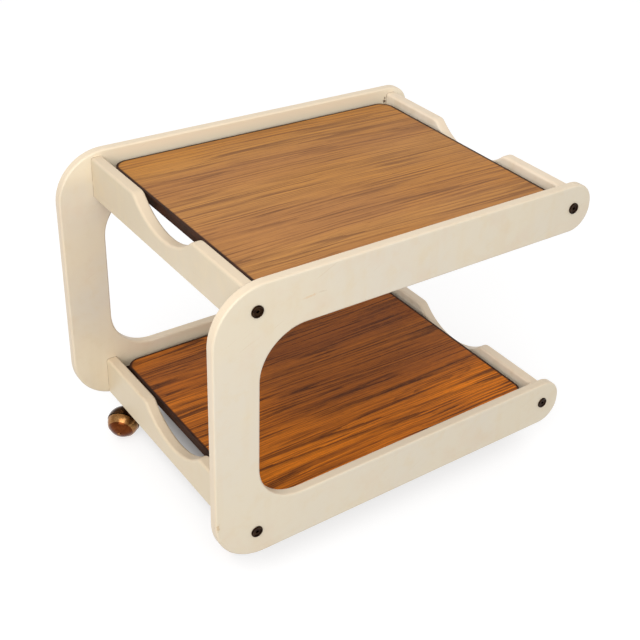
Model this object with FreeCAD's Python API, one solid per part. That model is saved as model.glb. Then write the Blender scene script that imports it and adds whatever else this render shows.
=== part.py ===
import FreeCAD, Part
import math
import os

# Two-tier serving trolley. Millimetres. +Z up, floor at Z = 0.
# X runs along the trolley: closed (spine) end at -X, open arm ends at +X.
# Y runs across it: front side frame at -Y, rear side frame at +Y.
# The origin is below the middle of the overall box, on the floor.

# ---------------------------------------------------------------- dimensions
BOARD = 16.0            # thickness of the side frames
RAIL_T = 19.0           # thickness of the cross rails
FRAME_LEN = 662.0       # overall length of a side frame
INNER_W = 445.0         # clear width between the two side frames
BOLT_DX = 560.0         # spacing of the connector bolts along the trolley
BOLT_DZ = 367.0         # spacing of the connector bolts in height
BOLT_X_FROM_SPINE = 65.0
BOLT_Z_LOW = 98.0       # height of the lower bolts over the floor
ARM_UP = 38.0           # arm edge above the bolt axis
ARM_DOWN = 41.0         # arm edge below the bolt axis
ARM_BOTTOM = 42.5       # lower edge of the low arm below the bolt axis
SPINE_W = 70.0
R_OUT = 79.0            # outer corner radius of the C frame
R_IN = 72.0             # inner corner radius of the C frame
R_END = 37.0            # rounding of the free arm ends
EDGE_R = 3.0            # softened edges of the frames

RAIL_UP = 29.0          # rail top above the bolt axis
RAIL_DOWN = 36.0        # rail bottom below the bolt axis
SCOOP_R = 118.0         # radius of the hand-hold scoop
SCOOP_DEPTH = 36.0
SCOOP_LIP_R = 16.0      # convex rounding where the scoop meets the rail top
RAIL_EDGE_R = 4.5       # rounded upper edges

TRAY_TOP = 17.0         # tray surface above the bolt axis
TRAY_T = 15.0
TRAY_LEN = 523.0
TRAY_W = 429.0
TRAY_R = 24.0
EDGING_T = 3.0
LAMINATE_T = 1.0

BATTEN_L = 540.0
BATTEN_W = 22.0
BATTEN_H = 16.0
REST_GAP = 0.3          # clearance under a loose tray

BOLT_R = 3.0            # M6 connector bolt
BOLT_HOLE_R = 3.5
BOLT_LEN = 62.0         # under the head
HEAD_R = 9.0
RIM_R = 1.3             # round bead along the edge of a bolt head
HEAD_FLOOR = 1.2        # height of the dished middle of a head
HEAD_H = HEAD_FLOOR + RIM_R
HEX_AF = 5.0
HEX_DEPTH = 3.5
NUT_R = 5.0             # barrel nut in the rail
NUT_L = 12.0
NUT_Y = 54.0            # barrel nut axis behind the outer face of the frame

SCREW_R = 2.0
SCREW_LEN = 34.0
SCREW_HEAD_R = 3.9

STEM_R = 4.0
SOCKET_BORE_R = 4.08
SOCKET_R = 5.0
SOCKET_HOLE_R = 5.05
SOCKET_LEN = 30.0
SOCKET_FLANGE_R = 7.5
SOCKET_FLANGE_T = 1.2
STEM_FROM_FRAME = 56.0  # castor stem axis inside the inner face of a frame
TRAIL = 12.0            # stem axis to wheel centre, seen from above
WHEEL_R = 26.0          # outside radius of the tread
HOOD_R = 27.0
HOOD_T = 2.5
TILT = 18.0             # axle below the horizontal, on the dome side

# ------------------------------------------------------------- derived values
X0 = -FRAME_LEN / 2.0                    # spine edge
X1 = FRAME_LEN / 2.0                     # arm ends
XL = X0 + BOLT_X_FROM_SPINE              # centre of the left rails
XR = XL + BOLT_DX                        # centre of the right rails
ZL = BOLT_Z_LOW
ZU = BOLT_Z_LOW + BOLT_DZ
Z_BOT = ZL - ARM_BOTTOM
Z_TOP = ZU + ARM_UP
YI = INNER_W / 2.0                       # inner face of the frames
YO = YI + BOARD                          # outer face of the frames
XM = (XL + XR) / 2.0
V = FreeCAD.Vector
os.makedirs("parts", exist_ok=True)


def save(shape, name):
    shape.exportStep("parts/" + name + ".step")


def polyarc(points):
    """Closed wire from corners (x, z, radius) joined by lines and fillet arcs."""
    n = len(points)
    edges = []
    starts = []
    ends = []
    mids = []
    for i in range(n):
        x, z, r = points[i]
        px, pz, _ = points[i - 1]
        nx, nz, _ = points[(i + 1) % n]
        a = V(px - x, pz - z, 0)
        b = V(nx - x, nz - z, 0)
        a.normalize()
        b.normalize()
        if r <= 0:
            starts.append(V(x, 0, z))
            ends.append(V(x, 0, z))
            mids.append(None)
            continue
        half = math.acos(max(-1.0, min(1.0, a.dot(b)))) / 2.0
        d = r / math.tan(half)
        c = a + b
        c.normalize()
        h = r / math.sin(half)
        s = V(x + a.x * d, 0, z + a.y * d)
        e = V(x + b.x * d, 0, z + b.y * d)
        m = V(x + c.x * (h - r), 0, z + c.y * (h - r))
        starts.append(s)
        ends.append(e)
        mids.append(m)
    for i in range(n):
        if mids[i] is not None:
            edges.append(Part.Arc(starts[i], mids[i], ends[i]).toShape())
        j = (i + 1) % n
        if (starts[j] - ends[i]).Length > 1e-6:
            edges.append(Part.LineSegment(ends[i], starts[j]).toShape())
    return Part.Wire(Part.__sortEdges__(edges))


def cyl(r, length, base, axis):
    return Part.makeCylinder(r, length, base, axis)


def rounded_plate(lx, ly, r, z0, z1, cx=0.0):
    """Flat panel with rounded corners, lying in X and Y."""
    pts = [(-lx / 2, -ly / 2, r), (lx / 2, -ly / 2, r), (lx / 2, ly / 2, r), (-lx / 2, ly / 2, r)]
    wire = polyarc(pts)
    face = Part.Face(wire)
    solid = face.extrude(V(0, z1 - z0, 0))
    # the wire lies in XZ: turn it flat
    solid.rotate(V(0, 0, 0), V(1, 0, 0), 90)
    box = solid.BoundBox
    solid.translate(V(cx, 0, z0 - box.ZMin))
    return solid


# ------------------------------------------------------------------ side frames
def side_frame(sign):
    """C-shaped board: spine at -X and two arms that end free at +X."""
    pts = [
        (X0, Z_BOT, R_OUT), (X1, Z_BOT, R_END), (X1, ZL + ARM_UP, R_END),
        (X0 + SPINE_W, ZL + ARM_UP, R_IN), (X0 + SPINE_W, ZU - ARM_DOWN, R_IN),
        (X1, ZU - ARM_DOWN, R_END), (X1, Z_TOP, R_END), (X0, Z_TOP, R_OUT),
    ]
    board = Part.Face(polyarc(pts)).extrude(V(0, BOARD, 0))
    board.translate(V(0, YI if sign > 0 else -YO, 0))
    board = board.makeFillet(EDGE_R, [e for e in board.Edges
                                      if abs(e.BoundBox.YMax - e.BoundBox.YMin) < 1e-6])
    # clearance holes of the connector bolts
    for x in (XL, XR):
        for z in (ZL, ZU):
            board = board.cut(cyl(BOLT_HOLE_R, BOARD + 4, V(x, sign * (YO + 2), z), V(0, -sign, 0)))
    # pilot holes of the batten screws
    for x in BATTEN_SCREW_X:
        for z in (ZL, ZU):
            zz = z + TRAY_TOP - TRAY_T - REST_GAP - BATTEN_H / 2.0
            depth = SCREW_LEN - BATTEN_W + 0.5
            board = board.cut(cyl(SCREW_R + 0.05, depth, V(x, sign * YI, zz), V(0, sign, 0)))
    return board


BATTEN_SCREW_X = (XM - 210.0, XM - 70.0, XM + 70.0, XM + 210.0)
save(side_frame(-1), "side_frame_front")
save(side_frame(1), "side_frame_rear")


# ------------------------------------------------------------------ cross rails
def rail(xc, zc, inner_sign, castors):
    """Board on edge between the frames, with a hand-hold scoop in its top edge."""
    top = zc + RAIL_UP
    bot = zc - RAIL_DOWN
    zarc = top - SCOOP_DEPTH + SCOOP_R
    # where the lip circle touches both the rail top and the scoop circle
    zl = top - SCOOP_LIP_R
    yl = math.sqrt((SCOOP_R + SCOOP_LIP_R) ** 2 - (zarc - zl) ** 2)
    k = SCOOP_R / (SCOOP_R + SCOOP_LIP_R)
    yt = yl * k
    zt = zarc - (zarc - zl) * k
    ux, uz = yt - yl, zt - zl
    mx, mz = ux / SCOOP_LIP_R, uz / SCOOP_LIP_R + 1.0
    ml = math.hypot(mx, mz)
    ym, zm = yl + mx / ml * SCOOP_LIP_R, zl + mz / ml * SCOOP_LIP_R
    p = lambda y, z: V(0, y, z)
    e = [
        Part.LineSegment(p(-YI, bot), p(YI, bot)).toShape(),
        Part.LineSegment(p(YI, bot), p(YI, top)).toShape(),
        Part.LineSegment(p(YI, top), p(yl, top)).toShape(),
        Part.Arc(p(yl, top), p(ym, zm), p(yt, zt)).toShape(),
        Part.Arc(p(yt, zt), p(0, top - SCOOP_DEPTH), p(-yt, zt)).toShape(),
        Part.Arc(p(-yt, zt), p(-ym, zm), p(-yl, top)).toShape(),
        Part.LineSegment(p(-yl, top), p(-YI, top)).toShape(),
        Part.LineSegment(p(-YI, top), p(-YI, bot)).toShape(),
    ]
    board = Part.Face(Part.Wire(e)).extrude(V(RAIL_T, 0, 0))
    board.translate(V(xc - RAIL_T / 2.0, 0, 0))
    long_edges = []
    for ed in board.Edges:
        bb = ed.BoundBox
        flat = abs(bb.XMax - bb.XMin) < 1e-6
        runs = (bb.YMax - bb.YMin) > 1e-3
        if flat and runs and bb.ZMax > bot + 1.0:
            long_edges.append(ed)
    board = board.makeFillet(RAIL_EDGE_R, long_edges)
    for s in (-1, 1):
        # bolt hole in from the end, and the cross hole of its barrel nut
        depth = BOLT_LEN - BOARD + 4.0
        board = board.cut(cyl(BOLT_HOLE_R, depth, V(xc, s * YI, zc), V(0, -s, 0)))
        y = s * (YO - NUT_Y)
        board = board.cut(cyl(NUT_R + 0.1, 1.0 + RAIL_T / 2.0 + NUT_L / 2.0 + 0.2,
                              V(xc + inner_sign * (RAIL_T / 2.0 + 1.0), y, zc), V(-inner_sign, 0, 0)))
        if castors:
            board = board.cut(cyl(SOCKET_HOLE_R, SOCKET_LEN + 1.0,
                                  V(xc, s * (YI - STEM_FROM_FRAME), bot), V(0, 0, 1)))
    return board


save(rail(XL, ZU, 1, False), "upper_rail_left")
save(rail(XR, ZU, -1, False), "upper_rail_right")
save(rail(XL, ZL, 1, True), "lower_rail_left")
save(rail(XR, ZL, -1, True), "lower_rail_right")


# --------------------------------------------------- connector bolts and nuts
def hexagon(af, x, y, z, depth, sign):
    r = af / math.sqrt(3.0)
    pts = [V(x + r * math.cos(math.radians(60 * i)), y, z + r * math.sin(math.radians(60 * i)))
           for i in range(7)]
    return Part.Face(Part.makePolygon(pts)).extrude(V(0, -sign * depth, 0))


def bolt(x, z, sign):
    """Flange head with a round beaded rim, dished middle and hex socket, on a plain shank."""
    face = sign * YO
    p = lambda r, h: V(r, 0, h)
    prof = Part.Wire([
        Part.LineSegment(p(0, 0), p(HEAD_R, 0)).toShape(),
        Part.LineSegment(p(HEAD_R, 0), p(HEAD_R, HEAD_FLOOR)).toShape(),
        Part.Arc(p(HEAD_R, HEAD_FLOOR), p(HEAD_R - RIM_R, HEAD_H), p(HEAD_R - 2 * RIM_R, HEAD_FLOOR)).toShape(),
        Part.LineSegment(p(HEAD_R - 2 * RIM_R, HEAD_FLOOR), p(0, HEAD_FLOOR)).toShape(),
        Part.LineSegment(p(0, HEAD_FLOOR), p(0, 0)).toShape(),
    ])
    head = Part.Face(prof).revolve(V(0, 0, 0), V(0, 0, 1), 360)
    shank = cyl(BOLT_R, BOLT_LEN, V(0, 0, 0), V(0, 0, -1))
    body = head.fuse(shank).removeSplitter()
    rot = FreeCAD.Rotation(V(0, 0, 1), V(0, sign, 0))
    body.Placement = FreeCAD.Placement(V(x, face, z), rot)
    body = body.cut(hexagon(HEX_AF, x, face + sign * (HEAD_H + 1.0), z,
                            HEX_DEPTH + RIM_R + 1.0, sign))
    return body


bolts = []
nuts = []
for x in (XL, XR):
    for z in (ZL, ZU):
        for s in (-1, 1):
            bolts.append(bolt(x, z, s))
            inner = 1 if x == XL else -1
            nut = cyl(NUT_R, NUT_L, V(x - inner * NUT_L / 2.0, s * (YO - NUT_Y), z), V(inner, 0, 0))
            nut = nut.cut(cyl(BOLT_R + 0.05, 30, V(x, s * (YO - NUT_Y) - 15, z), V(0, 1, 0)))
            slot = Part.makeBox(1.6, 8.0, 1.2)
            slot.translate(V(x + inner * NUT_L / 2.0 - 0.8, s * (YO - NUT_Y) - 4.0, z - 0.6))
            nuts.append(nut.cut(slot))
save(Part.makeCompound(bolts), "connector_bolts")
save(Part.makeCompound(nuts), "barrel_nuts")


# ----------------------------------------------------------- battens and screws
screws = []
for name, zc in (("upper", ZU), ("lower", ZL)):
    for side, s in (("front", -1), ("rear", 1)):
        ztop = zc + TRAY_TOP - TRAY_T - REST_GAP
        y0 = s * YI if s < 0 else YI - BATTEN_W
        b = Part.makeBox(BATTEN_L, BATTEN_W, BATTEN_H, V(XM - BATTEN_L / 2.0, y0, ztop - BATTEN_H))
        b = b.makeChamfer(1.0, [e for e in b.Edges
                                if e.BoundBox.XMax - e.BoundBox.XMin > 100
                                and abs(e.BoundBox.YMin - s * (YI - BATTEN_W)) < 1e-3])
        for x in BATTEN_SCREW_X:
            zz = ztop - BATTEN_H / 2.0
            yin = s * (YI - BATTEN_W)
            b = b.cut(cyl(SCREW_R + 0.05, BATTEN_W + 1.0, V(x, yin, zz), V(0, s, 0)))
            b = b.cut(Part.makeCone(SCREW_HEAD_R + 0.1, SCREW_R, 2.6, V(x, yin, zz), V(0, s, 0)))
            head = Part.makeCone(SCREW_HEAD_R, SCREW_R, 2.5, V(x, yin, zz), V(0, s, 0))
            shank = cyl(SCREW_R, SCREW_LEN - 4.0, V(x, yin, zz), V(0, s, 0))
            tip = Part.makeCone(SCREW_R, 0.4, 4.0, V(x, yin + s * (SCREW_LEN - 4.0), zz), V(0, s, 0))
            sc = head.fuse(shank).fuse(tip)
            for half in (0, 90):
                cross = Part.makeBox(4.0, 1.4, 1.0, V(-2.0, -0.7, -0.5))
                cross.rotate(V(0, 0, 0), V(1, 0, 0), 90)
                cross.rotate(V(0, 0, 0), V(0, 1, 0), half)
                cross.translate(V(x, yin + s * 0.7, zz))
                sc = sc.cut(cross)
            screws.append(sc.removeSplitter())
        save(b, name + "_batten_" + side)
save(Part.makeCompound(screws), "batten_screws")

# ----------------------------------------------------------------------- trays
for name, zc in (("upper", ZU), ("lower", ZL)):
    zt = zc + TRAY_TOP
    zb = zt - TRAY_T
    outer = rounded_plate(TRAY_LEN, TRAY_W, TRAY_R, zb, zt, XM)
    hole = rounded_plate(TRAY_LEN - 2 * EDGING_T, TRAY_W - 2 * EDGING_T, TRAY_R - EDGING_T, zb - 1, zt + 1, XM)
    edging = outer.cut(hole)
    save(edging, name + "_tray_edging")
    lx, ly, rr = TRAY_LEN - 2 * EDGING_T, TRAY_W - 2 * EDGING_T, TRAY_R - EDGING_T
    save(rounded_plate(lx, ly, rr, zb + LAMINATE_T, zt - LAMINATE_T, XM), name + "_tray_core")
    save(rounded_plate(lx, ly, rr, zt - LAMINATE_T, zt, XM), name + "_tray_laminate")
    save(rounded_plate(lx, ly, rr, zb, zb + LAMINATE_T, XM), name + "_tray_backing")

# --------------------------------------------------------------------- castors
RAIL_BOT = ZL - RAIL_DOWN
sockets = []
for x in (XL, XR):
    for s in (-1, 1):
        y = s * (YI - STEM_FROM_FRAME)
        tube = cyl(SOCKET_R, SOCKET_LEN, V(x, y, RAIL_BOT), V(0, 0, 1))
        flange = cyl(SOCKET_FLANGE_R, SOCKET_FLANGE_T, V(x, y, RAIL_BOT - SOCKET_FLANGE_T), V(0, 0, 1))
        bore = cyl(SOCKET_BORE_R, SOCKET_LEN + 10, V(x, y, RAIL_BOT - 5), V(0, 0, 1))
        sockets.append(tube.fuse(flange).cut(bore).removeSplitter())
save(Part.makeCompound(sockets), "castor_sockets")


def sph(r, z):
    return math.sqrt(max(r * r - z * z, 0.0))


def zone(r_out, r_in, z0, z1):
    """Ring between two concentric spheres and two planes across the Z axis."""
    p = lambda r, z: V(r, 0, z)
    zm = (z0 + z1) / 2.0
    w = Part.Wire([
        Part.Arc(p(sph(r_out, z0), z0), p(sph(r_out, zm), zm), p(sph(r_out, z1), z1)).toShape(),
        Part.LineSegment(p(sph(r_out, z1), z1), p(sph(r_in, z1), z1)).toShape(),
        Part.Arc(p(sph(r_in, z1), z1), p(sph(r_in, zm), zm), p(sph(r_in, z0), z0)).toShape(),
        Part.LineSegment(p(sph(r_in, z0), z0), p(sph(r_out, z0), z0)).toShape(),
    ])
    return Part.Face(w).revolve(V(0, 0, 0), V(0, 0, 1), 360)


TREAD_Z0, TREAD_Z1 = 2.2, 15.0
TREAD_T = 2.4
HOOD_EDGE = 0.6
AXLE_R = 2.5
CAP_R = 3.6
DOME_R = 25.3


def wheel_parts():
    """Wheel, tread and cap round the local Z axis; the dome points along +Z."""
    p = lambda r, z: V(r, 0, z)
    rim = WHEEL_R - TREAD_T
    inner = rim - 2.2
    z0, z1 = TREAD_Z0, TREAD_Z1
    zi = math.sqrt(inner ** 2 - 6.0 ** 2)
    w = Part.Wire([
        Part.Arc(p(sph(rim, z0), z0), p(sph(rim, (z0 + z1) / 2), (z0 + z1) / 2), p(sph(rim, z1), z1)).toShape(),
        Part.LineSegment(p(sph(rim, z1), z1), p(sph(DOME_R, z1), z1)).toShape(),
        Part.Arc(p(sph(DOME_R, z1), z1), p(sph(DOME_R, 21.0), 21.0), p(CAP_R + 0.05, sph(DOME_R, CAP_R + 0.05))).toShape(),
        Part.LineSegment(p(CAP_R + 0.05, sph(DOME_R, CAP_R + 0.05)), p(CAP_R + 0.05, 23.6)).toShape(),
        Part.LineSegment(p(CAP_R + 0.05, 23.6), p(0, 23.6)).toShape(),
        Part.LineSegment(p(0, 23.6), p(0, 20.4)).toShape(),
        Part.LineSegment(p(0, 20.4), p(AXLE_R + 0.06, 20.4)).toShape(),
        Part.LineSegment(p(AXLE_R + 0.06, 20.4), p(AXLE_R + 0.06, 2.0)).toShape(),
        Part.LineSegment(p(AXLE_R + 0.06, 2.0), p(6.0, 2.0)).toShape(),
        Part.LineSegment(p(6.0, 2.0), p(6.0, zi)).toShape(),
        Part.Arc(p(6.0, zi), p(sph(inner, 12.0), 12.0), p(sph(inner, z0), z0)).toShape(),
        Part.LineSegment(p(sph(inner, z0), z0), p(sph(rim, z0), z0)).toShape(),
    ])
    wheel = Part.Face(w).revolve(V(0, 0, 0), V(0, 0, 1), 360)
    tread = zone(WHEEL_R, rim, z0, z1)
    cap = cyl(CAP_R, 2.6, V(0, 0, 23.6), V(0, 0, 1))
    cap = cap.makeFillet(0.8, [e for e in cap.Edges if abs(e.BoundBox.ZMin - 26.2) < 1e-4
                               and e.BoundBox.ZMax - e.BoundBox.ZMin < 1e-6])
    axle = cyl(AXLE_R, 19.9 + 18.0, V(0, 0, -18.0), V(0, 0, 1))
    return wheel, tread, cap, axle


def castor(name, x, y, angle):
    """Stem, hood, inclined axle and domed wheel; angle is the trail's heading."""
    a = math.radians(angle)
    trail = V(math.cos(a), math.sin(a), 0)
    side = V(-math.sin(a), math.cos(a), 0)
    t = math.radians(TILT)
    n = V(side.x * math.cos(t), side.y * math.cos(t), -math.sin(t))
    centre = V(x, y, WHEEL_R) + trail * TRAIL
    place = FreeCAD.Placement(centre, FreeCAD.Rotation(V(0, 0, 1), n))
    wheel, tread, cap, axle = wheel_parts()
    for shape in (wheel, tread, cap, axle):
        shape.Placement = place
    # hood: open shell on the far side of the wheel, cut level above the floor
    ball = Part.makeSphere(HOOD_R).cut(Part.makeSphere(HOOD_R - HOOD_T))
    keep = Part.makeBox(80, 80, 40.0 + HOOD_EDGE, V(-40, -40, -40.0))
    shell = ball.common(keep)
    boss = cyl(6.0, 24.0 + 0.9, V(0, 0, -24.0 - 0.5), V(0, 0, 1)).common(Part.makeSphere(HOOD_R - 0.5))
    hood = shell.fuse(boss)
    hood.Placement = place
    post = cyl(7.0, 58.0 - (WHEEL_R + 12.0), V(x, y, WHEEL_R + 12.0), V(0, 0, 1))
    floor_cut = Part.makeBox(90, 90, 40, V(centre.x - 45, centre.y - 45, WHEEL_R - 17.0 - 40))
    hood = hood.fuse(post).cut(floor_cut)
    hood = hood.cut(cyl(STEM_R, 60, V(x, y, WHEEL_R + 14.5), V(0, 0, 1)))
    bore = cyl(AXLE_R, 30.0, V(0, 0, -18.0), V(0, 0, 1))
    bore.Placement = place
    hood = hood.cut(bore)
    # room for the wheel beside the post
    room = Part.makeSphere(WHEEL_R + 0.6).common(
        Part.makeBox(80, 80, 40, V(-40, -40, HOOD_EDGE)))
    room.Placement = place
    hood = hood.cut(room).removeSplitter()
    top = RAIL_BOT - SOCKET_FLANGE_T - 0.3
    stem = cyl(STEM_R, top + 28.0 - (WHEEL_R + 14.5), V(x, y, WHEEL_R + 14.5), V(0, 0, 1))
    stem = stem.fuse(cyl(6.8, top - 58.0, V(x, y, 58.0), V(0, 0, 1)))
    groove = cyl(5.5, 2.0, V(x, y, top + 20.0), V(0, 0, 1)).cut(cyl(3.2, 2.0, V(x, y, top + 20.0), V(0, 0, 1)))
    stem = stem.cut(groove).removeSplitter()
    stem = stem.makeChamfer(1.0, [e for e in stem.Edges if abs(e.BoundBox.ZMin - (top + 28.0)) < 1e-4])
    save(stem, "castor_" + name + "_stem")
    save(hood, "castor_" + name + "_hood")
    save(axle, "castor_" + name + "_axle")
    save(wheel, "castor_" + name + "_wheel")
    save(tread, "castor_" + name + "_tread")
    save(cap, "castor_" + name + "_cap")


Y_STEM = YI - STEM_FROM_FRAME
castor("front_left", XL, -Y_STEM, 15.0)
castor("rear_left", XL, Y_STEM, 135.0)
castor("front_right", XR, -Y_STEM, 100.0)
castor("rear_right", XR, Y_STEM, 250.0)
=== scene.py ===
import math
import bpy
import bmesh
from mathutils import Matrix, Vector


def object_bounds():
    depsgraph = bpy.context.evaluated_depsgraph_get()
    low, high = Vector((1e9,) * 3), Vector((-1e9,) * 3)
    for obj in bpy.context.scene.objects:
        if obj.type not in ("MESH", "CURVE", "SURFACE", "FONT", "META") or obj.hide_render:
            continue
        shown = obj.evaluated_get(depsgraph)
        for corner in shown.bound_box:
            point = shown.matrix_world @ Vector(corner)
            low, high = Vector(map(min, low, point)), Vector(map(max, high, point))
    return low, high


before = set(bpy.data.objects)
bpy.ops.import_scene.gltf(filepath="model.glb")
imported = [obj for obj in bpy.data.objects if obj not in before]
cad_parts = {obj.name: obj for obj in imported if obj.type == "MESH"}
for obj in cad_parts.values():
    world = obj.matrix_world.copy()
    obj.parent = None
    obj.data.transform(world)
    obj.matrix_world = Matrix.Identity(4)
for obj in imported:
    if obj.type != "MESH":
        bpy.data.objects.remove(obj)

CAD_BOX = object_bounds()
scene = bpy.context.scene


# ------------------------------------------------------------------ utilities
def srgb(r, g, b):
    """8-bit display colour to linear."""
    out = []
    for c in (r, g, b):
        c /= 255.0
        out.append(c / 12.92 if c <= 0.04045 else ((c + 0.055) / 1.055) ** 2.4)
    return (*out, 1.0)


class Net:
    """Small helper that writes shader nodes as expressions."""

    def __init__(self, name):
        self.mat = bpy.data.materials.new(name)
        self.mat.use_nodes = True
        self.t = self.mat.node_tree
        self.t.nodes.clear()
        self.out = self.t.nodes.new("ShaderNodeOutputMaterial")
        self.bsdf = self.t.nodes.new("ShaderNodeBsdfPrincipled")
        self.t.links.new(self.bsdf.outputs[0], self.out.inputs[0])
        self.co = self.t.nodes.new("ShaderNodeTexCoord").outputs["Object"]
        sep = self.node("ShaderNodeSeparateXYZ", Vector=self.co)
        self.x, self.y, self.z = sep.outputs

    def put(self, node, socket, value):
        s = node.inputs[socket]
        if isinstance(value, bpy.types.NodeSocket):
            self.t.links.new(value, s)
        else:
            s.default_value = value

    def node(self, kind, props=None, **inputs):
        n = self.t.nodes.new(kind)
        for k, v in (props or {}).items():
            setattr(n, k, v)
        for k, v in inputs.items():
            self.put(n, k.replace("_", " "), v)
        return n

    def m(self, op, a, b=0.0, c=0.0, clamp=False):
        n = self.t.nodes.new("ShaderNodeMath")
        n.operation = op
        n.use_clamp = clamp
        self.put(n, 0, a)
        if len(n.inputs) > 1:
            self.put(n, 1, b)
        if len(n.inputs) > 2:
            self.put(n, 2, c)
        return n.outputs[0]

    def vec(self, x, y, z):
        n = self.t.nodes.new("ShaderNodeCombineXYZ")
        self.put(n, 0, x)
        self.put(n, 1, y)
        self.put(n, 2, z)
        return n.outputs[0]

    def noise(self, vector, scale=1.0, detail=2.0, rough=0.5, distortion=0.0, colour=False):
        n = self.node("ShaderNodeTexNoise", Vector=vector, Scale=scale, Detail=detail,
                      Roughness=rough, Distortion=distortion)
        return n.outputs["Color" if colour else "Fac"]

    def ramp(self, fac, stops, interp="LINEAR"):
        n = self.t.nodes.new("ShaderNodeValToRGB")
        n.color_ramp.interpolation = interp
        els = n.color_ramp.elements
        while len(els) < len(stops):
            els.new(0.5)
        for e, (p, c) in zip(els, stops):
            e.position = p
            e.color = c if len(c) == 4 else (c[0], c[0], c[0], 1.0)
        self.put(n, 0, fac)
        return n.outputs[0]

    def step(self, fac, lo, hi):
        """0 below lo, 1 above hi, smooth between."""
        n = self.t.nodes.new("ShaderNodeMapRange")
        n.interpolation_type = "SMOOTHSTEP"
        self.put(n, 0, fac)
        n.inputs[1].default_value = lo
        n.inputs[2].default_value = hi
        n.inputs[3].default_value = 0.0
        n.inputs[4].default_value = 1.0
        return n.outputs[0]

    def mix(self, fac, a, b, blend="MIX"):
        n = self.t.nodes.new("ShaderNodeMix")
        n.data_type = "RGBA"
        n.blend_type = blend
        self.put(n, 0, fac)
        self.put(n, 6, a)
        self.put(n, 7, b)
        return n.outputs[2]

    def bump(self, height, strength=0.1, distance=0.001, normal=None):
        n = self.node("ShaderNodeBump", Height=height, Strength=strength, Distance=distance)
        if normal is not None:
            self.put(n, "Normal", normal)
        return n.outputs[0]

    def normal(self):
        g = self.t.nodes.new("ShaderNodeNewGeometry")
        s = self.node("ShaderNodeSeparateXYZ", Vector=g.outputs["Normal"])
        return s.outputs

    def edge(self, radius, samples=6):
        """How far the surface turns within radius: 0 on flats, towards 1 on edges."""
        b = self.t.nodes.new("ShaderNodeBevel")
        b.samples = samples
        b.inputs["Radius"].default_value = radius
        g = self.t.nodes.new("ShaderNodeNewGeometry")
        d = self.t.nodes.new("ShaderNodeVectorMath")
        d.operation = "DOT_PRODUCT"
        self.t.links.new(b.outputs[0], d.inputs[0])
        self.t.links.new(g.outputs["Normal"], d.inputs[1])
        return self.m("SUBTRACT", 1.0, d.outputs["Value"], clamp=True)


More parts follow.
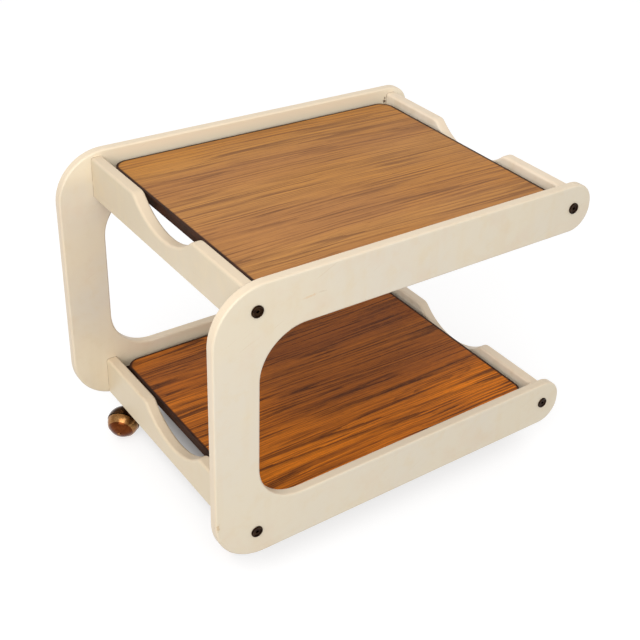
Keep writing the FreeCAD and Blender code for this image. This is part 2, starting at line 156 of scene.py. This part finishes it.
# ------------------------------------------------------------------ materials
def cream(name, seed, edge_axis, tint=0.0, base=(229, 217, 195), toned=(232, 213, 180), marks=(), painted_light_band=None, mark_y=0.0):
    """Old cream lacquer: faint mottling, yellower softened edges, small chips, and optionally a painted-light band that
    lightens it above a given height.
    """
    n = Net(name)
    p = n.vec(n.m("ADD", n.x, seed), n.m("ADD", n.y, seed * 0.37), n.z)
    base = srgb(*base)
    warm = srgb(224, 206, 174)
    cool = srgb(224, 214, 196)
    big = n.noise(p, 5.0, 3.0, 0.55)
    mid = n.noise(p, 38.0, 3.0, 0.6)
    col = n.mix(n.step(big, 0.38, 0.68), base, cool)
    # for the rails, tint blends in a per-rail tone that carries painted light and shade
    col = n.mix(n.m("MULTIPLY", n.step(big, -0.2, 0.1), tint), col, srgb(*toned))
    col = n.mix(n.m("MULTIPLY", n.step(mid, 0.48, 0.76), 0.42), col, warm)
    # soft vertical streaks where the lacquer has aged
    streak = n.noise(n.vec(n.m("MULTIPLY", n.x, 40.0), n.m("MULTIPLY", n.y, 40.0), n.m("MULTIPLY", n.z, 5.0)), 1.0, 2.0, 0.5)
    col = n.mix(n.m("MULTIPLY", n.step(streak, 0.50, 0.75), 0.26), col, warm)
    stain = n.noise(p, 14.0, 4.0, 0.62)
    col = n.mix(n.m("MULTIPLY", n.step(stain, 0.50, 0.72), 0.24), col, srgb(222, 196, 170))
    # painted light: above the band's heights the lacquer is blended to a lighter tone, standing in for the light on the
    # strip above the upper tray
    if painted_light_band:
        col = n.mix(n.m("MULTIPLY", n.step(n.z, painted_light_band[0], painted_light_band[1]), 0.85), col, srgb(*painted_light_band[2]))
    # the narrow faces of the board took the lacquer yellower
    nx, ny, nz = n.normal()
    across = {"x": nx, "y": ny}[edge_axis]
    narrow = n.m("SUBTRACT", 1.0, n.step(n.m("ABSOLUTE", across), 0.55, 0.97))
    col = n.mix(n.m("MULTIPLY", narrow, 0.55), col, srgb(226, 205, 178))
    if edge_axis == "x":
        # the lacquer has cracked along the butt joints with the side frames
        crack = n.step(n.m("ABSOLUTE", n.y), 0.2211, 0.2219)
        crack = n.m("MULTIPLY", crack, n.step(n.noise(n.vec(seed, n.m("MULTIPLY", n.y, 8.0), n.m("MULTIPLY", n.z, 42.0)), 1.0, 2.0, 0.6), 0.36, 0.52))
        col = n.mix(n.m("MULTIPLY", crack, 0.80), col, srgb(112, 84, 52))
    # worn and chipped edges
    edge = n.edge(0.0022)
    rim = n.step(edge, 0.02, 0.16)
    col = n.mix(n.m("MULTIPLY", rim, 0.20), col, srgb(228, 208, 178))
    chipn = n.noise(p, 95.0, 4.0, 0.62)
    chipm = n.noise(p, 9.0, 2.0, 0.5)
    chip = n.m("MULTIPLY", n.step(chipn, 0.665, 0.70), n.step(chipm, 0.56, 0.62))
    chip = n.m("MULTIPLY", chip, n.step(edge, 0.03, 0.10))
    col = n.mix(n.m("MULTIPLY", chip, 0.85), col, srgb(131, 96, 62))
    # knocks and scuffs at their own places: centre, half length, half width, lean, amount, colour
    for (mx, mz, lx, lz, lean, amount, tone) in marks:
        ax = n.m("SUBTRACT", n.x if edge_axis == "y" else n.y, mx)
        az = n.m("SUBTRACT", n.m("SUBTRACT", n.z, mz), n.m("MULTIPLY", ax, lean))
        ax = n.m("MULTIPLY", ax, 1.0 / lx)
        az = n.m("MULTIPLY", az, 1.0 / lz)
        rr = n.m("SQRT", n.m("ADD", n.m("MULTIPLY", ax, ax), n.m("MULTIPLY", az, az)))
        rr = n.m("ADD", rr, n.m("MULTIPLY", n.m("SUBTRACT", n.noise(p, 330.0, 3.0, 0.6), 0.5), 2.6))
        hit = n.m("SUBTRACT", 1.0, n.step(rr, 0.35, 0.95))
        hit = n.m("MULTIPLY", hit, n.m("SUBTRACT", 1.0, n.step(n.y, mark_y - 0.001, mark_y + 0.001)))
        col = n.mix(n.m("MULTIPLY", hit, amount), col, srgb(*tone))
    # fine dirt specks and hair scratches over the faces
    speck = n.step(n.noise(p, 420.0, 2.0, 0.5), 0.755, 0.80)
    speck = n.m("MULTIPLY", speck, n.step(n.noise(p, 22.0, 2.0, 0.5), 0.52, 0.66))
    col = n.mix(n.m("MULTIPLY", speck, 0.35), col, srgb(150, 120, 84))
    scr = n.node("ShaderNodeTexNoise", Vector=n.vec(n.m("MULTIPLY", n.m("ADD", n.x, n.m("MULTIPLY", n.z, 0.6)), 14.0),
                                                   n.m("MULTIPLY", n.y, 14.0),
                                                   n.m("MULTIPLY", n.m("SUBTRACT", n.z, n.m("MULTIPLY", n.x, 0.5)), 620.0)),
                 Scale=1.0, Detail=1.0, Roughness=0.4).outputs["Fac"]
    scr = n.m("MULTIPLY", n.step(scr, 0.735, 0.76), n.step(n.noise(p, 13.0, 2.0, 0.5), 0.50, 0.60))
    col = n.mix(n.m("MULTIPLY", scr, 0.30), col, srgb(205, 180, 140))
    n.put(n.bsdf, "Base Color", col)
    rough = n.m("ADD", 0.40, n.m("MULTIPLY", n.m("SUBTRACT", mid, 0.5), 0.22))
    rough = n.m("ADD", rough, n.m("MULTIPLY", chip, 0.3))
    n.put(n.bsdf, "Roughness", rough)
    n.bsdf.inputs["Specular IOR Level"].default_value = 0.45
    peel = n.noise(p, 260.0, 2.0, 0.5)
    h = n.m("SUBTRACT", n.m("MULTIPLY", peel, 0.35), n.m("MULTIPLY", chip, 1.0))
    h = n.m("SUBTRACT", h, n.m("MULTIPLY", scr, 0.15))
    n.put(n.bsdf, "Normal", n.bump(h, 0.18, 0.0006))
    return n.mat


def teak(name, seed, tones, k, wander, tilt, painted_light_side, fig):
    """Teak-grain laminate, grain along X: growth lines, dense straight streaks, hairlines, pores, figures."""
    n = Net(name)
    light, gold, mid, dark, line = tones
    x = n.m("ADD", n.x, seed)
    # the grain wanders a little across the sheet
    w1 = n.noise(n.vec(n.m("MULTIPLY", x, 1.6), n.m("MULTIPLY", n.y, 3.2), seed), 1.0, 1.0, 0.5)
    w2 = n.noise(n.vec(n.m("MULTIPLY", x, 6.0), n.m("MULTIPLY", n.y, 11.0), seed + 3.0), 1.0, 2.0, 0.5)
    w3 = n.noise(n.vec(n.m("MULTIPLY", x, 26.0), n.m("MULTIPLY", n.y, 60.0), seed + 13.0), 1.0, 1.0, 0.5)
    yw = n.m("ADD", n.y, n.m("MULTIPLY", n.m("SUBTRACT", w1, 0.5), wander))
    yw = n.m("ADD", yw, n.m("MULTIPLY", n.m("SUBTRACT", w2, 0.5), 0.0060))
    yw = n.m("ADD", yw, n.m("MULTIPLY", n.m("SUBTRACT", w3, 0.5), 0.0010))
    yw = n.m("ADD", yw, n.m("MULTIPLY", n.x, tilt))

    def along(fx, fy, off, detail=2.0, rough=0.5):
        return n.noise(n.vec(n.m("MULTIPLY", x, fx), n.m("MULTIPLY", yw, fy), seed + off), 1.0, detail, rough)

    band = along(0.9, 13.0, 11.0, 1.0)
    patch = n.noise(n.vec(n.m("MULTIPLY", x, 2.6), n.m("MULTIPLY", n.y, 5.0), seed + 21.0), 1.0, 2.0, 0.5)
    grow = along(0.55, 19.0, 31.0, 1.0, 0.4)
    s1 = along(2.5, 230.0, 0.0, 1.0, 0.5)
    s2 = along(7.0, 460.0, 5.0, 2.0, 0.6)
    s3 = along(16.0, 900.0, 7.0, 1.0, 0.5)
    here = along(2.2, 24.0, 2.0, 1.0)
    there = along(7.0, 60.0, 17.0, 1.0)
    pore = along(70.0, 1500.0, 9.0, 1.0, 0.5)
    col = n.mix(n.step(band, 0.34, 0.66), light, mid)
    gold_and_painted_light = n.m("MULTIPLY", n.step(patch, 0.46, 0.74), 0.45)
    # painted light: the sheet turns golder and lighter towards one side, given by two values of y, on top of the random
    # gold patches
    lo, hi = painted_light_side
    gold_and_painted_light = n.m("ADD", gold_and_painted_light, n.m("MULTIPLY", n.step(n.y, lo, hi) if lo < hi else n.m("SUBTRACT", 1.0, n.step(n.y, hi, lo)), 0.55), clamp=True)
    col = n.mix(gold_and_painted_light, col, gold)
    # dense straight streaks of three widths
    col = n.mix(n.m("MULTIPLY", n.step(s2, 0.40, 0.66), 0.46 * k), col, dark)
    col = n.mix(n.m("MULTIPLY", n.m("MULTIPLY", n.step(s1, 0.50, 0.64), n.step(here, 0.36, 0.60)), 0.50 * k), col, dark)
    col = n.mix(n.m("MULTIPLY", n.step(s3, 0.52, 0.68), 0.30 * k), col, dark)
    # growth lines: contours of a slow field, thin and broken along their length
    gl = n.m("FRACT", n.m("ADD", n.m("MULTIPLY", grow, 17.0), n.m("MULTIPLY", n.m("SUBTRACT", s2, 0.5), 0.30)))
    gl = n.m("MULTIPLY", n.step(gl, 0.55, 0.97), n.step(there, 0.34, 0.56))
    col = n.mix(n.m("MULTIPLY", gl, 0.62 * k), col, line)
    hair = n.m("MULTIPLY", n.step(s1, 0.575, 0.60), n.m("SUBTRACT", 1.0, n.step(s1, 0.63, 0.66)))
    hair = n.m("MULTIPLY", hair, n.step(there, 0.42, 0.56))
    col = n.mix(n.m("MULTIPLY", hair, 0.55 * k), col, line)
    # cathedral figures: closed growth lines, long along the grain
    for (fx, fy, lx, ly, freq, amount) in fig:
        dx = n.m("MULTIPLY", n.m("SUBTRACT", n.x, fx), ly / lx)
        dy = n.m("SUBTRACT", yw, fy)
        dy = n.m("ADD", dy, n.m("MULTIPLY", n.m("SUBTRACT", n.x, fx), -0.05))
        r = n.m("SQRT", n.m("ADD", n.m("MULTIPLY", dx, dx), n.m("MULTIPLY", dy, dy)))
        rj = n.m("ADD", r, n.m("MULTIPLY", n.m("SUBTRACT", s1, 0.5), 0.004))
        f = n.m("POWER", n.m("FRACT", n.m("MULTIPLY", rj, freq)), 4.0)
        inside = n.m("SUBTRACT", 1.0, n.step(r, ly * 0.55, ly))
        col = n.mix(n.m("MULTIPLY", n.m("MULTIPLY", f, inside), amount), col, line)
    col = n.mix(n.m("MULTIPLY", n.step(pore, 0.60, 0.72), 0.34 * k), col, line)
    col = n.mix(n.m("MULTIPLY", n.m("SUBTRACT", 1.0, n.step(pore, 0.30, 0.42)), 0.18 * k), col, gold)
    # a dark band round the sheet's border: partly the dark edging's own colour carried onto the top, partly painted
    # shadow of the gap between the tray and the frames and rails
    hx, hy, r = 0.2585, 0.2115, 0.021
    qx = n.m("SUBTRACT", n.m("ABSOLUTE", n.m("SUBTRACT", n.x, 0.014)), hx - r)
    qy = n.m("SUBTRACT", n.m("ABSOLUTE", n.y), hy - r)
    ax, ay = n.m("MAXIMUM", qx, 0.0), n.m("MAXIMUM", qy, 0.0)
    rim = n.m("SQRT", n.m("ADD", n.m("MULTIPLY", ax, ax), n.m("MULTIPLY", ay, ay)))
    rim = n.m("ADD", rim, n.m("MINIMUM", n.m("MAXIMUM", qx, qy), 0.0))
    rim = n.step(n.m("SUBTRACT", rim, r), -0.0020, -0.0006)
    col = n.mix(n.m("MULTIPLY", rim, 0.62), col, srgb(66, 34, 18))
    n.put(n.bsdf, "Base Color", col)
    wear = n.noise(n.vec(n.m("MULTIPLY", x, 6.0), n.m("MULTIPLY", n.y, 6.0), seed), 1.0, 3.0, 0.6)
    rough = n.m("ADD", 0.46, n.m("MULTIPLY", wear, 0.14))
    rough = n.m("ADD", rough, n.m("MULTIPLY", n.step(pore, 0.60, 0.72), 0.10))
    n.put(n.bsdf, "Roughness", rough)
    n.bsdf.inputs["Specular IOR Level"].default_value = 0.16
    h = n.m("SUBTRACT", n.m("MULTIPLY", s2, 0.4), n.m("MULTIPLY", n.step(pore, 0.55, 0.75), 1.0))
    n.put(n.bsdf, "Normal", n.bump(h, 0.15, 0.0003))
    return n.mat


def darkwood(name, seed, a, b, rough=0.5, rubbed=0.55):
    """Dark brown lipping or batten: streaks along its length and scuffed edges."""
    n = Net(name)
    p = n.vec(n.m("MULTIPLY", n.m("ADD", n.x, seed), 5.0), n.m("MULTIPLY", n.y, 30.0), n.m("MULTIPLY", n.z, 260.0))
    g = n.noise(p, 1.0, 3.0, 0.6)
    col = n.mix(n.step(g, 0.35, 0.7), a, b)
    wear = n.m("MULTIPLY", n.step(n.edge(0.0012), 0.04, 0.25), n.step(n.noise(n.co, 60.0, 3.0, 0.6), 0.42, 0.62))
    col = n.mix(n.m("MULTIPLY", wear, rubbed), col, srgb(120, 84, 56))
    n.put(n.bsdf, "Base Color", col)
    n.put(n.bsdf, "Roughness", n.m("ADD", rough, n.m("MULTIPLY", n.m("SUBTRACT", g, 0.5), 0.2)))
    n.bsdf.inputs["Specular IOR Level"].default_value = 0.15
    n.put(n.bsdf, "Normal", n.bump(g, 0.12, 0.0004))
    return n.mat


def board(name, seed):
    """Raw chipboard: pressed flakes of mixed brown."""
    n = Net(name)
    v = n.node("ShaderNodeTexVoronoi", Vector=n.co, Scale=420.0)
    v2 = n.noise(n.co, 90.0, 3.0, 0.6)
    col = n.ramp(v.outputs["Distance"], [(0.0, srgb(122, 91, 60)), (0.5, srgb(168, 134, 94)), (1.0, srgb(196, 164, 122))])
    col = n.mix(n.m("MULTIPLY", v2, 0.4), col, srgb(140, 105, 70))
    n.put(n.bsdf, "Base Color", col)
    n.bsdf.inputs["Roughness"].default_value = 0.85
    n.put(n.bsdf, "Normal", n.bump(v.outputs["Distance"], 0.4, 0.0004))
    return n.mat


def metal(name, body, worn, rough, edge_r, metallic=1.0, spots=0.3, scale=600.0, edge_gain=0.9):
    """Plated or bronzed metal, brighter where the edges are rubbed."""
    n = Net(name)
    tarn = n.noise(n.co, scale * 0.25, 3.0, 0.6)
    fine = n.noise(n.co, scale * 2.0, 2.0, 0.5)
    col = n.mix(n.m("MULTIPLY", n.step(tarn, 0.40, 0.70), spots), body, worn)
    rub = n.m("MULTIPLY", n.step(n.edge(edge_r), 0.03, 0.30), n.m("ADD", 0.35, n.m("MULTIPLY", tarn, 0.9)), clamp=True)
    col = n.mix(n.m("MULTIPLY", rub, edge_gain), col, worn)
    n.put(n.bsdf, "Base Color", col)
    n.bsdf.inputs["Metallic"].default_value = metallic
    r = n.m("ADD", rough, n.m("MULTIPLY", n.m("SUBTRACT", tarn, 0.5), 0.18))
    r = n.m("SUBTRACT", r, n.m("MULTIPLY", rub, 0.12))
    n.put(n.bsdf, "Roughness", r)
    n.put(n.bsdf, "Normal", n.bump(fine, 0.05, 0.0002))
    return n.mat


def dress(node, mat):
    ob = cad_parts[node]
    if ob.data.materials:
        for i in range(len(ob.data.materials)):
            ob.data.materials[i] = mat
    else:
        ob.data.materials.append(mat)


SCUFF = (-0.186, 0.462, 0.014, 0.0022, 0.10, 0.55, (222, 190, 146))
SCUFF2 = (-0.168, 0.4635, 0.010, 0.0016, -0.10, 0.40, (206, 186, 158))
EDGE_MARK = (-0.328, 0.135, 0.0030, 0.0090, 0.0, 0.55, (196, 158, 104))
KNOCK = (0.2805, 0.4795, 0.0034, 0.0036, 0.0, 0.95, (84, 50, 24))
KNOCK1 = (0.2815, 0.4860, 0.0030, 0.0032, 0.0, 0.95, (84, 50, 24))
KNOCK2 = (0.290, 0.473, 0.0070, 0.0050, 0.6, 0.55, (150, 116, 66))
KNOCK3 = (0.300, 0.486, 0.0090, 0.0014, 0.35, 0.60, (150, 122, 84))
# the rear frame's base is a touch lighter than the front's, and it is lightened from z 0.445 to 0.480 upwards: both
# painted light for its inner face above the upper tray
for i, side in enumerate(("front", "rear")):
    dress("side_frame_" + side, cream("lacquer_frame_" + side, 1.3 + 2.1 * i, "y",
                                     base=((227, 215, 192), (232, 217, 190))[i],
                                     marks=((SCUFF, SCUFF2, EDGE_MARK), (KNOCK, KNOCK1, KNOCK2, KNOCK3))[i],
                                     painted_light_band=(None, (0.445, 0.480, (243, 230, 205)))[i],
                                     mark_y=(-0.2330, 0.2265)[i]))
# per-rail lacquer tones are lit and shaded copies: the right rails are lighter and the left rails darker, painted light
# and shade for how much light each rail's visible face catches
RAIL_BASE_PAINTED_LIGHT = {("upper", "left"): (213, 201, 178), ("lower", "left"): (222, 209, 184),
             ("upper", "right"): (238, 227, 207), ("lower", "right"): (236, 224, 202)}
RAIL_TONED_PAINTED_LIGHT = {("upper", "left"): (215, 197, 167), ("lower", "left"): (224, 205, 173),
              ("upper", "right"): (250, 235, 213), ("lower", "right"): (248, 231, 206)}
k = 0
for tier in ("upper", "lower"):
    for side in ("left", "right"):
        dress(tier + "_rail_" + side, cream("lacquer_rail_%s_%s" % (tier, side), 5.1 + 1.9 * k, "x", 0.55,
                                                  base=RAIL_BASE_PAINTED_LIGHT[tier, side],
                                                  toned=RAIL_TONED_PAINTED_LIGHT[tier, side]))
        k += 1

# the upper tray's golden side, y 0.09 to 0.22, is a painted highlight along its rear edge
upper_teak = teak("teak_upper", 0.8,
                  (srgb(194, 137, 73), srgb(200, 135, 52), srgb(182, 125, 70), srgb(136, 90, 56), srgb(100, 62, 43)),
                  0.92, 0.026, 0.012, (0.09, 0.22),
                  ((0.13, 0.10, 0.20, 0.030, 120.0, 0.16), (-0.06, -0.06, 0.16, 0.022, 130.0, 0.14)))
# the lower tray's golden side, y -0.03 to -0.17, is painted light on its front part where the key light reaches under
# the upper tray
lower_teak = teak("teak_lower", 4.2,
                  (srgb(186, 106, 34), srgb(250, 140, 14), srgb(160, 88, 32), srgb(108, 55, 22), srgb(56, 27, 17)),
                  1.25, 0.034, 0.012, (-0.03, -0.17),
                  ((0.156, -0.116, 0.13, 0.020, 150.0, 0.50), (0.057, 0.141, 0.20, 0.026, 130.0, 0.40)))
edging = darkwood("edging_dark", 0.4, srgb(40, 20, 11), srgb(66, 36, 20), 0.55, 0.12)
# the battens are coloured dark brown
dark_batten = darkwood("batten_dark", 2.4, srgb(44, 28, 18), srgb(70, 46, 30), 0.6)
backing = darkwood("backing_sheet", 3.4, srgb(88, 60, 40), srgb(108, 76, 52), 0.55)
raw = board("chipboard", 1.0)
for tier, t in (("upper", upper_teak), ("lower", lower_teak)):
    dress(tier + "_tray_laminate", t)
    dress(tier + "_tray_edging", edging)
    dress(tier + "_tray_core", raw)
    dress(tier + "_tray_backing", backing)
    for side in ("front", "rear"):
        dress(tier + "_batten_" + side, dark_batten)

bronze = metal("bolt_bronze", srgb(33, 19, 12), srgb(134, 98, 60), 0.36, 0.0006, spots=0.12)
zinc = metal("zinc_plate", srgb(150, 150, 148), srgb(190, 190, 186), 0.32, 0.0008)
hoodm = metal("castor_hood_bronze", srgb(62, 42, 30), srgb(150, 104, 60), 0.26, 0.001, spots=0.35)
copper = metal("castor_dome_copper", srgb(96, 48, 22), srgb(134, 78, 38), 0.24, 0.001, spots=0.35)
brass = metal("castor_brass", srgb(150, 104, 60), srgb(198, 154, 100), 0.26, 0.001, spots=0.45)
capm = metal("castor_cap_bronze", srgb(124, 72, 34), srgb(206, 160, 100), 0.20, 0.0012, spots=0.3)
dress("connector_bolts", bronze)
dress("barrel_nuts", zinc)
dress("batten_screws", zinc)
dress("castor_sockets", zinc)
for c in ("front_left", "front_right", "rear_left", "rear_right"):
    dress("castor_%s_stem" % c, zinc)
    dress("castor_%s_axle" % c, zinc)
    dress("castor_%s_hood" % c, hoodm)
    dress("castor_%s_wheel" % c, copper)
    dress("castor_%s_tread" % c, brass)
    dress("castor_%s_cap" % c, capm)

# ------------------------------------------------------------------- the stage
def floor_material():
    n = Net("floor_white")
    p = n.noise(n.co, 3.0, 2.0, 0.5)
    n.put(n.bsdf, "Base Color", n.mix(p, srgb(162, 162, 163), srgb(166, 166, 167)))
    n.bsdf.inputs["Roughness"].default_value = 0.75
    n.bsdf.inputs["Emission Color"].default_value = (1.0, 1.0, 1.0, 1.0)
    # the floor glows evenly white; painted shadow: the glow fades out underneath the trolley, darkening the floor there
    # and in the castor's reflections
    lo, hi = CAD_BOX
    qx = n.m("SUBTRACT", n.m("ABSOLUTE", n.m("SUBTRACT", n.x, (lo[0] + hi[0]) / 2 + 0.02)), 0.185)
    qy = n.m("SUBTRACT", n.m("ABSOLUTE", n.m("SUBTRACT", n.y, 0.06)), 0.12)
    ax, ay = n.m("MAXIMUM", qx, 0.0), n.m("MAXIMUM", qy, 0.0)
    d = n.m("SQRT", n.m("ADD", n.m("MULTIPLY", ax, ax), n.m("MULTIPLY", ay, ay)))
    glow_outside_painted_shadow = n.step(d, 0.0, 0.10)
    n.put(n.bsdf, "Emission Strength", n.m("MULTIPLY", glow_outside_painted_shadow, 0.70))
    n.bsdf.inputs["Specular IOR Level"].default_value = 0.2
    return n.mat


bm = bmesh.new()
size = 14.0
vs = [bm.verts.new(v) for v in ((-size, -size, 0), (size, -size, 0), (size, size, 0), (-size, size, 0))]
bm.faces.new(vs)
me = bpy.data.meshes.new("floor")
bm.to_mesh(me)
bm.free()
floor = bpy.data.objects.new("floor", me)
scene.collection.objects.link(floor)
floor.data.materials.append(floor_material())
floor.visible_diffuse = False       # the dome's lower half stands for the light it gives back

world = bpy.data.worlds.new("studio") if not bpy.data.worlds else bpy.data.worlds[0]
scene.world = world
world.use_nodes = True
wn = world.node_tree
bg = wn.nodes.get("Background") or wn.nodes.new("ShaderNodeBackground")
bg.inputs[0].default_value = (1.0, 0.99, 0.975, 1.0)
dome = wn.nodes.new("ShaderNodeTexCoord")
split = wn.nodes.new("ShaderNodeSeparateXYZ")
height = wn.nodes.new("ShaderNodeMath")
height.operation = "MULTIPLY_ADD"
height.inputs[1].default_value = 0.5
height.inputs[2].default_value = 0.5
fade = wn.nodes.new("ShaderNodeValToRGB")
wn.links.new(dome.outputs["Generated"], split.inputs[0])
wn.links.new(split.outputs[2], height.inputs[0])
wn.links.new(height.outputs[0], fade.inputs[0])
levels = ((0.375, 0.48), (0.490, 0.62), (0.500, 0.97), (0.550, 0.92), (0.640, 0.74), (1.0, 0.74))
while len(fade.color_ramp.elements) < len(levels):
    fade.color_ramp.elements.new(0.5)
for e, (p, v) in zip(fade.color_ramp.elements, levels):
    e.position = p
    e.color = (v, v, v, 1.0)
wn.links.new(fade.outputs[0], bg.inputs[1])


def area(name, loc, target, size_, power, colour):
    d = bpy.data.lights.new(name, "AREA")
    d.shape = "RECTANGLE"
    d.size, d.size_y = size_
    d.energy = power
    d.color = colour
    ob = bpy.data.objects.new(name, d)
    scene.collection.objects.link(ob)
    ob.location = loc
    ob.rotation_mode = "QUATERNION"
    ob.rotation_quaternion = (Vector(target) - Vector(loc)).to_track_quat("-Z", "Y")
    return ob


area("key", (-1.45, -1.30, 1.60), (0, 0, 0.3), (1.8, 1.8), 32.0, (1.0, 0.985, 0.965))
area("top", (-0.5, -0.6, 3.2), (0, 0, 0.3), (3.0, 3.0), 4.0, (1.0, 1.0, 1.0))

# ------------------------------------------------------------------ the camera
RIGHT = Vector((0.793412, -0.605539, 0.061808))
UP = Vector((0.265161, 0.435248, 0.860377))
BACK = Vector((-0.547894, -0.666244, 0.505896))
cd = bpy.data.cameras.new("camera")
cd.sensor_fit = "HORIZONTAL"
cd.sensor_width = 36.0
cd.lens = 62.9103
cd.shift_x = -0.109375
cd.shift_y = -0.0625
cd.clip_start = 0.05
cd.clip_end = 60.0
cam = bpy.data.objects.new("camera", cd)
scene.collection.objects.link(cam)
cam.matrix_world = Matrix(((RIGHT.x, UP.x, BACK.x, -0.88855),
                           (RIGHT.y, UP.y, BACK.y, -1.25098),
                           (RIGHT.z, UP.z, BACK.z, 1.21479),
                           (0, 0, 0, 1)))
scene.camera = cam
scene.view_settings.view_transform = "Standard"
scene.view_settings.look = "None"
scene.view_settings.exposure = 0.0
scene.view_settings.gamma = 1.0
